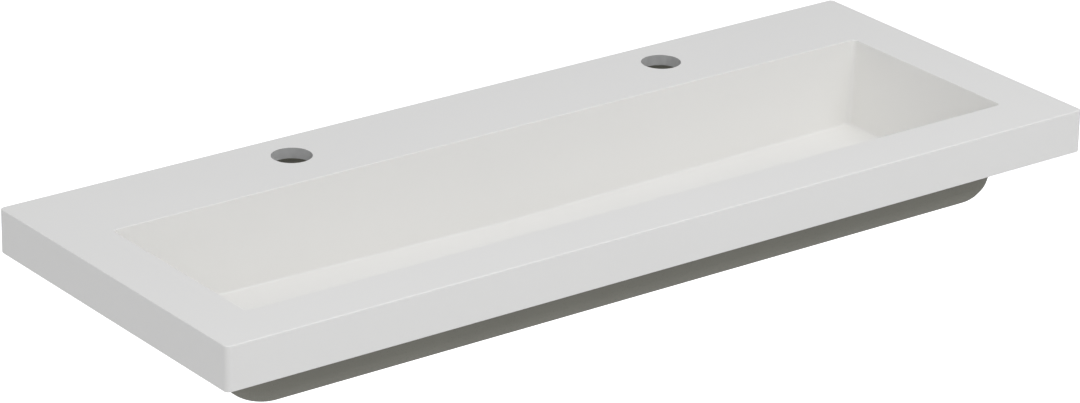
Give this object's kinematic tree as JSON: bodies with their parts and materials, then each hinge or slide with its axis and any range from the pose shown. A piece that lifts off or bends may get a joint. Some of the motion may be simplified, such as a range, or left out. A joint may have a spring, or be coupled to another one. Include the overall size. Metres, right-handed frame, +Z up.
{
  "type": "washbasin",
  "caption": "Wide vanity washbasin: flat deck with an apron, a long trough bowl whose floor falls to a push-to-open waste, and tap holes behind it.",
  "frame": {"origin": "on the wall plane at mid-width, level with the lower edge of the apron, which is the face that rests on the cabinet", "axes": "+X to the right along the basin as seen from the front, +Y into the wall, +Z up"},
  "size_m": [1.2, 0.46, 0.169],
  "materials": {
    "basin": "gloss",
    "flange_gasket": "matte",
    "waste_body": "polished",
    "lower_gasket": "matte",
    "slip_washer": "satin",
    "lock_nut": "satin",
    "cartridge_base": "satin",
    "cartridge_housing": "satin",
    "cartridge_spring": "satin",
    "cam_rotor": "satin",
    "plunger": "satin",
    "plug_seal": "matte",
    "plug_cap": "polished"
  },
  "bodies": {
    "basin_unit": {"basin": "basin", "flange_gasket": "flange_gasket", "waste_body": "waste_body", "lower_gasket": "lower_gasket", "slip_washer": "slip_washer", "lock_nut": "lock_nut", "cartridge_base": "cartridge_base", "cartridge_housing": "cartridge_housing", "cartridge_spring": "cartridge_spring"},
    "plug": {"plunger": "plunger", "plug_seal": "plug_seal", "plug_cap": "plug_cap"},
    "rotor": {"cam_rotor": "cam_rotor"}
  },
  "joints": [
    {"name": "plug_slide", "type": "slide", "parent": "basin_unit", "child": "plug", "axis": [0, 0, 1], "range_m": [-0.008, 0], "stiffness_N_per_m": 600, "springref_m": 0.012, "deforming": ["cartridge_spring"]},
    {"name": "cam_turn", "type": "hinge", "parent": "plug", "child": "rotor", "pos_m": [0, -0.25751, -0.073], "axis": [0, 0, 1], "range_deg": [0, 60]}
  ],
  "couplings": [
    {"joint": "cam_turn", "follows": "plug_slide", "rad_per_m": -130.8}
  ]
}
